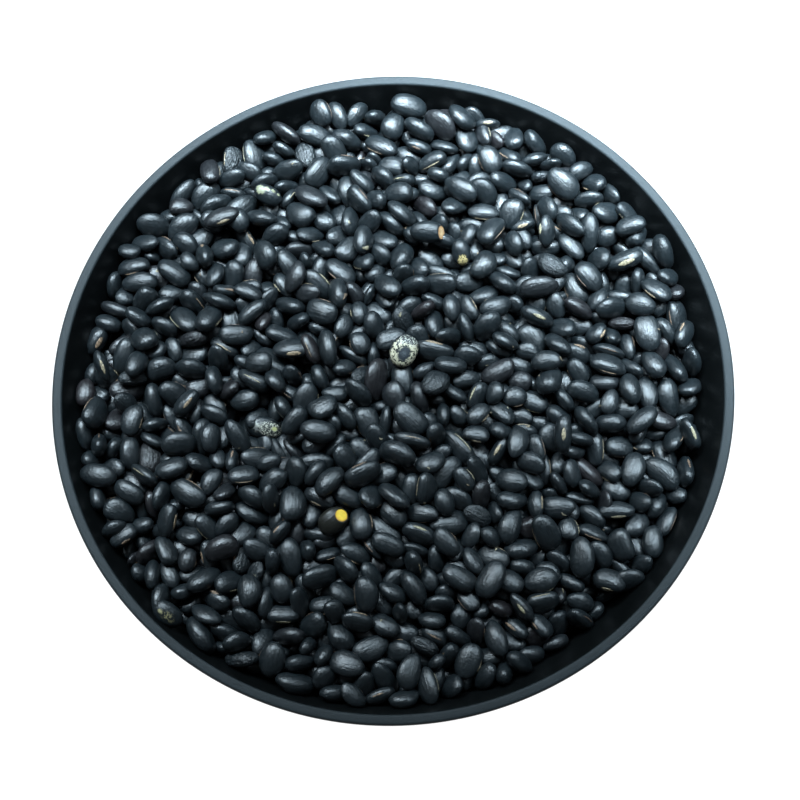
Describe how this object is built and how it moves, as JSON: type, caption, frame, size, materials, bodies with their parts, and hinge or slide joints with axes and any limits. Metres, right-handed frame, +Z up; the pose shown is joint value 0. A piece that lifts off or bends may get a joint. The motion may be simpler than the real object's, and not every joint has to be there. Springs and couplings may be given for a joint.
{
  "type": "bowl of dried beans",
  "caption": "Round black bowl with a sloping wall and a foot ring, heaped with small oval dried beans that slump to one side.",
  "frame": {"origin": "middle of the foot ring's resting plane", "axes": "+Z up, the bowl is round about Z, and the heap of beans slumps towards +X and -Y"},
  "size_m": [0.2, 0.2, 0.0503],
  "materials": {
    "bowl": "satin black, smooth",
    "beans": "satin black seed coat with a cool sheen"
  },
  "bodies": {
    "root": {"bowl": "bowl", "beans": "beans"}
  },
  "joints": []
}
